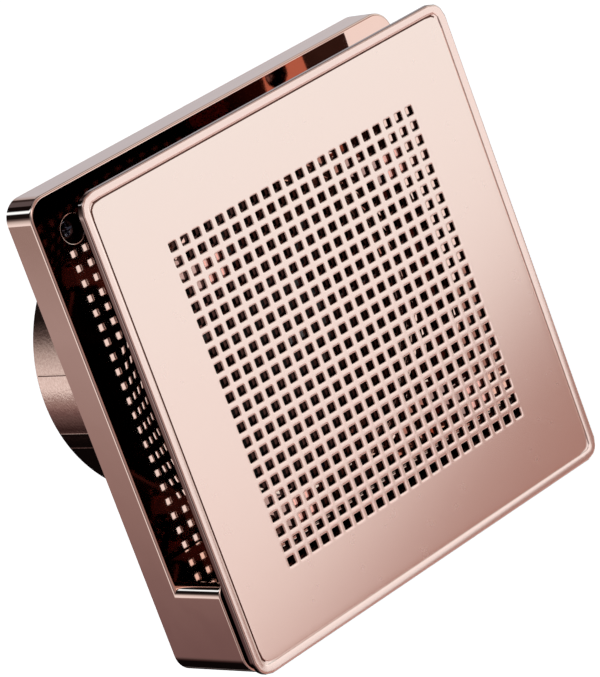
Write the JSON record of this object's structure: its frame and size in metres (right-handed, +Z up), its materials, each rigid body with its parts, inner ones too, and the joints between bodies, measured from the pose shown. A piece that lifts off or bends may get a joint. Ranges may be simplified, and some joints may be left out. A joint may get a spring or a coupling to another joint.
{
  "type": "wall extractor fan",
  "caption": "Square wall extractor fan with a perforated cover floating on pegs over a polished casing, a raised wiring box at its foot, and a round duct spigot with shutter flaps.",
  "frame": {"origin": "centre of the bounding box, on the duct axis; the wall plane, where the casing and the flange end, is Y = -0.0113", "axes": "+Y along the duct axis into the wall, so the perforated cover faces -Y; +Z up, with the wiring box at the foot; +X to the right of someone facing the cover"},
  "size_m": [0.1596, 0.1002, 0.1596],
  "materials": {
    "satin_rose_gold": "satin rose-gold plating on moulded ABS",
    "polished_rose_gold": "mirror-polished rose-gold plating on moulded ABS",
    "screw_steel": "plain bright steel",
    "dark_plastic": "dark grey moulded plastic",
    "lamination_steel": "varnished electrical steel laminations",
    "natural_nylon": "uncoloured nylon",
    "taped_copper": "enamelled copper wire under red-brown tape",
    "zinc_plated_steel": "zinc-plated pressed steel",
    "bronze": "oil-soaked sintered bronze",
    "black_rubber": "soft black rubber",
    "board_green": "green solder mask on glass-fibre board",
    "capacitor_yellow": "yellow resin-filled case",
    "relay_black": "black moulded case",
    "lead_brown": "brown PVC insulation",
    "lead_blue": "blue PVC insulation"
  },
  "bodies": {
    "casing": {"casing_shell": "polished_rose_gold", "casing_screw_left": "screw_steel", "casing_screw_right": "screw_steel", "duct_housing": "polished_rose_gold", "shutter_pin": "screw_steel", "stator_core": "lamination_steel", "coil_bobbin": "natural_nylon", "coil_winding": "taped_copper", "bearing_bracket_front": "zinc_plated_steel", "bearing_bracket_rear": "zinc_plated_steel", "bush_front": "bronze", "bush_rear": "bronze", "motor_screw_left": "screw_steel", "motor_screw_right": "screw_steel", "terminal_screw_1": "screw_steel", "terminal_screw_2": "screw_steel", "terminal_screw_3": "screw_steel", "terminal_block": "natural_nylon", "cable_grommet": "black_rubber", "clamp_screw_1": "screw_steel", "clamp_screw_2": "screw_steel", "cable_clamp": "natural_nylon", "board_screw_1": "screw_steel", "board_screw_2": "screw_steel", "circuit_board": "board_green", "film_capacitor": "capacitor_yellow", "relay": "relay_black", "motor_lead_live": "lead_brown", "motor_lead_neutral": "lead_blue"},
    "cover": {"front_cover": "satin_rose_gold", "cover_peg_top_left": "satin_rose_gold", "cover_peg_bottom_left": "satin_rose_gold", "cover_peg_top_right": "satin_rose_gold", "cover_peg_bottom_right": "satin_rose_gold"},
    "fan_rotor": {"impeller": "dark_plastic", "impeller_nut": "screw_steel", "motor_shaft": "screw_steel", "rotor": "lamination_steel"},
    "shutter_left": {"shutter_flap_left": "dark_plastic"},
    "shutter_right": {"shutter_flap_right": "dark_plastic"}
  },
  "joints": [
    {"name": "cover_pull", "type": "slide", "parent": "casing", "child": "cover", "axis": [0, -1, 0], "range_m": [0, 0.03]},
    {"name": "impeller_spin", "type": "hinge", "parent": "casing", "child": "fan_rotor", "pos_m": [0, 0, 0], "axis": [0, 1, 0], "continuous": true},
    {"name": "shutter_right_swing", "type": "hinge", "parent": "casing", "child": "shutter_right", "pos_m": [0, 0.0447, 0], "axis": [0, 0, 1], "range_deg": [0, 75]},
    {"name": "shutter_left_swing", "type": "hinge", "parent": "casing", "child": "shutter_left", "pos_m": [0, 0.0447, 0], "axis": [0, 0, -1], "range_deg": [0, 75]}
  ]
}
